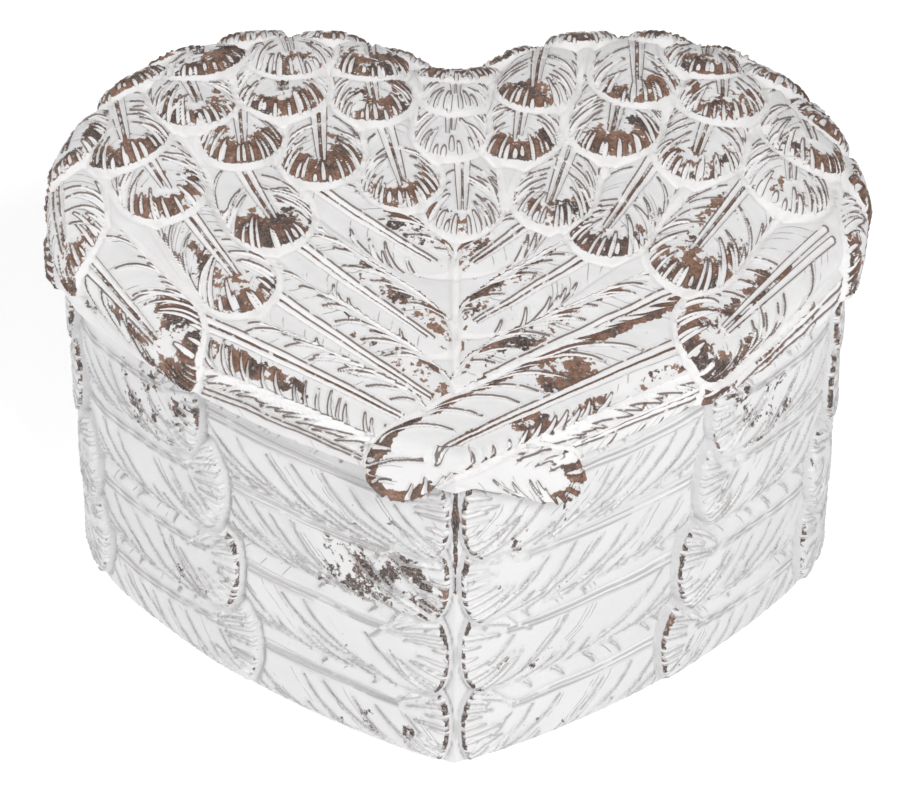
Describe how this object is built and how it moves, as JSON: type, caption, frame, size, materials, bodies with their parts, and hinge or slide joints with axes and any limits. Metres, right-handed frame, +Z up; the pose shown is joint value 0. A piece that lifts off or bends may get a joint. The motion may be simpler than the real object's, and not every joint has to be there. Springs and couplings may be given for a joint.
{
  "type": "wind-up music box",
  "caption": "Heart-shaped cast resin music box carved as folded angel wings, with a lift-off domed lid, a trinket compartment and a key-wound movement beneath.",
  "frame": {"origin": "on the surface it stands on, at the centre of the lid's width and depth", "axes": "+Z up, -Y towards the heart's point, +X to the right as seen facing the point"},
  "size_m": [0.1258, 0.1005, 0.0758],
  "materials": {
    "resin": "matte",
    "velvet": "matte",
    "board": "matte",
    "brass": "satin",
    "steel": "satin",
    "zinc": "matte",
    "plastic": "satin"
  },
  "bodies": {
    "box": {"base_shell": "resin", "compartment_liner": "velvet", "bottom_plate": "board", "plate_screw_1": "steel", "plate_screw_2": "steel", "plate_screw_3": "steel", "movement_screw_1": "steel", "movement_screw_2": "steel", "movement_screw_3": "steel", "bedplate": "zinc", "spring_housing": "zinc", "mainspring": "steel", "cylinder_bracket_left": "zinc", "cylinder_bracket_right": "zinc", "comb": "steel", "comb_bar": "zinc", "comb_screw_1": "steel", "comb_screw_2": "steel", "governor_frame": "brass"},
    "lid": {"lid_shell": "resin"},
    "winding": {"winding_arbor": "steel", "winding_key": "brass", "ratchet_wheel": "steel"},
    "great_wheel": {"great_wheel": "brass", "click": "brass"},
    "cylinder": {"cylinder": "brass", "cylinder_pinion": "steel", "cylinder_gear": "plastic"},
    "governor": {"governor_wheel": "plastic", "governor_arbor": "steel"},
    "fly": {"fly_shaft": "steel", "fly": "plastic"}
  },
  "joints": [
    {"name": "lid_lift", "type": "slide", "parent": "box", "child": "lid", "axis": [0, 0, 1], "range_m": [0, 0.08]},
    {"name": "key_wind", "type": "hinge", "parent": "box", "child": "winding", "pos_m": [-0.013, 0.006, 0.0055], "axis": [0, 0, 1], "continuous": true},
    {"name": "cylinder_spin", "type": "hinge", "parent": "box", "child": "cylinder", "pos_m": [0.0109, 0.006, 0.0245], "axis": [1, 0, 0], "continuous": true},
    {"name": "great_wheel_spin", "type": "hinge", "parent": "box", "child": "great_wheel", "pos_m": [-0.013, 0.006, 0.0285], "axis": [0, 0, 1], "continuous": true},
    {"name": "governor_spin", "type": "hinge", "parent": "box", "child": "governor", "pos_m": [0.0248, 0.01388, 0.0245], "axis": [1, 0, 0], "continuous": true},
    {"name": "fly_spin", "type": "hinge", "parent": "box", "child": "fly", "pos_m": [0.0248, 0.01997, 0.0245], "axis": [0, 0, 1], "continuous": true}
  ],
  "couplings": [
    {"joint": "great_wheel_spin", "follows": "cylinder_spin", "ratio": -0.25},
    {"joint": "governor_spin", "follows": "cylinder_spin", "ratio": -4},
    {"joint": "fly_spin", "follows": "cylinder_spin", "ratio": 96}
  ]
}
